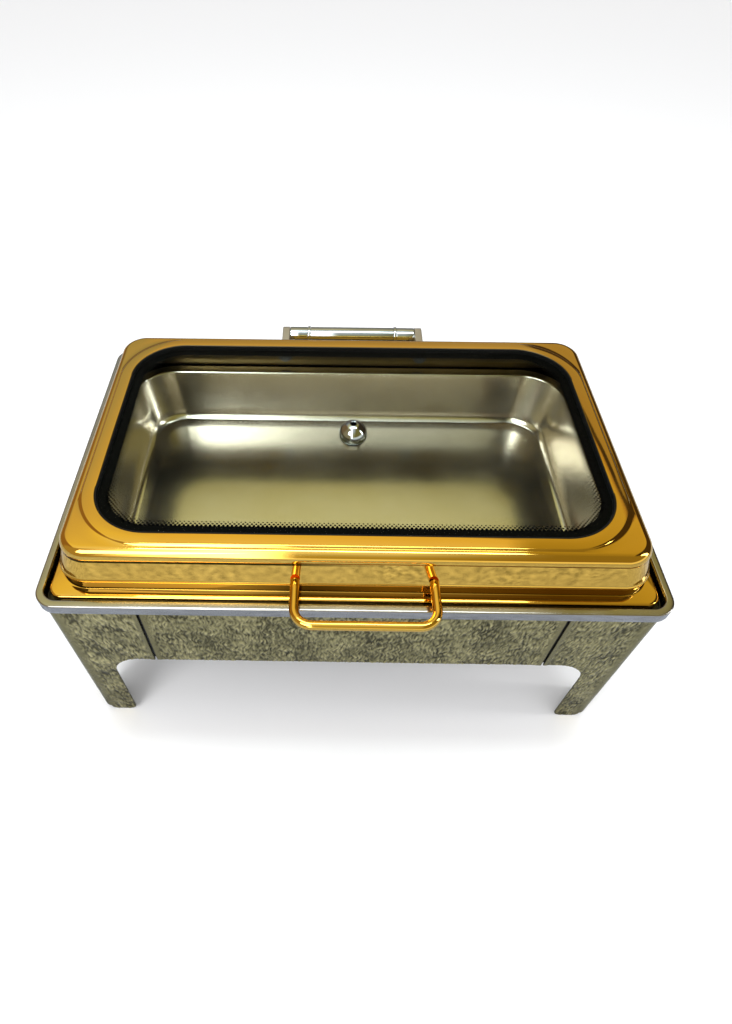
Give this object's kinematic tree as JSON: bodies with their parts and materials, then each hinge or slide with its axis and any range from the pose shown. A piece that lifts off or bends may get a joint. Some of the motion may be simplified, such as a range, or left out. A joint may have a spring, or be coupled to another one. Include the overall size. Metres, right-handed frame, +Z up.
{
  "type": "roll top chafer",
  "caption": "Rectangular buffet chafing dish: gold lid with a glass window on a rear damped hinge, steel water pan and food pan, and a hammered sheet-metal stand with fuel holders.",
  "frame": {"origin": "on the table under the middle of the lid, level with the bottoms of the sheet legs", "axes": "+X to the user's right along the long side, +Y to the back where the hinge is, +Z up"},
  "size_m": [0.569, 0.4287, 0.297],
  "materials": {
    "gold_mirror": "mirror-polished gold-coloured steel",
    "hammered_gold": "hammered, antique gold-coloured steel",
    "steel_polished": "polished stainless steel",
    "steel_satin": "satin stainless steel",
    "steel_plain": "plain mill finish",
    "chrome": "mirror chrome",
    "glass": "clear tempered glass with a black printed edge",
    "black_rubber": "matt black"
  },
  "bodies": {
    "stand": {"foot_pad_front_left": "black_rubber", "foot_pad_front_right": "black_rubber", "foot_pad_rear_left": "black_rubber", "foot_pad_rear_right": "black_rubber", "front_panel": "hammered_gold", "fuel_shelf": "steel_plain", "left_panel": "hammered_gold", "leg_front_left": "hammered_gold", "leg_front_right": "hammered_gold", "leg_rear_left": "hammered_gold", "leg_rear_right": "hammered_gold", "rear_panel": "hammered_gold", "right_panel": "hammered_gold", "shelf_screw_left_front": "steel_polished", "shelf_screw_left_rear": "steel_polished", "shelf_screw_right_front": "steel_polished", "shelf_screw_right_rear": "steel_polished", "stand_frame": "steel_plain"},
    "water_pan": {"water_pan": "steel_polished", "hinge_tube": "chrome", "hinge_collar_left": "chrome", "hinge_collar_right": "chrome", "hinge_mount": "steel_satin", "hinge_mount_screw_left": "steel_polished", "hinge_mount_screw_right": "steel_polished"},
    "food_pan": {"food_pan": "steel_satin"},
    "fuel_holder_left": {"fuel_holder_left": "steel_polished", "fuel_pin_left": "steel_polished"},
    "fuel_holder_right": {"fuel_holder_right": "steel_polished", "fuel_pin_right": "steel_polished"},
    "fuel_cover_left": {"fuel_cover_left": "steel_polished"},
    "fuel_cover_right": {"fuel_cover_right": "steel_polished"},
    "lid": {"glass": "glass", "glass_seal": "black_rubber", "handle": "gold_mirror", "handle_screw_left": "steel_polished", "handle_screw_right": "steel_polished", "handle_washer_left": "steel_polished", "handle_washer_right": "steel_polished", "hinge_arm_left": "steel_satin", "hinge_arm_right": "steel_satin", "hinge_screw_left": "steel_polished", "hinge_screw_right": "steel_polished", "hinge_shaft": "steel_polished", "hinge_sleeve_left": "chrome", "hinge_sleeve_right": "chrome", "hinge_washer_left": "steel_polished", "hinge_washer_right": "steel_polished", "knob_nut": "steel_polished", "knob_seal": "black_rubber", "knob_washer": "steel_polished", "lid_shell": "gold_mirror", "vent_knob": "chrome"}
  },
  "joints": [
    {"name": "water_pan_lift", "type": "slide", "parent": "stand", "child": "water_pan", "axis": [0, 0, 1], "range_m": [0, 0.1]},
    {"name": "lid_hinge", "type": "hinge", "parent": "water_pan", "child": "lid", "pos_m": [0.004, 0.203, 0.25], "axis": [-1, 0, 0], "range_deg": [0, 90]},
    {"name": "food_pan_lift", "type": "slide", "parent": "water_pan", "child": "food_pan", "axis": [0, 0, 1], "range_m": [0, 0.0075]},
    {"name": "fuel_holder_left_lift", "type": "slide", "parent": "stand", "child": "fuel_holder_left", "axis": [0, 0, 1], "range_m": [0, 0.02]},
    {"name": "fuel_holder_right_lift", "type": "slide", "parent": "stand", "child": "fuel_holder_right", "axis": [0, 0, 1], "range_m": [0, 0.02]},
    {"name": "fuel_cover_left_swing", "type": "hinge", "parent": "fuel_holder_left", "child": "fuel_cover_left", "pos_m": [-0.125, 0.053, 0.0973], "axis": [0, 0, -1], "range_deg": [0, 150]},
    {"name": "fuel_cover_right_swing", "type": "hinge", "parent": "fuel_holder_right", "child": "fuel_cover_right", "pos_m": [0.125, 0.053, 0.0973], "axis": [0, 0, 1], "range_deg": [0, 150]}
  ]
}
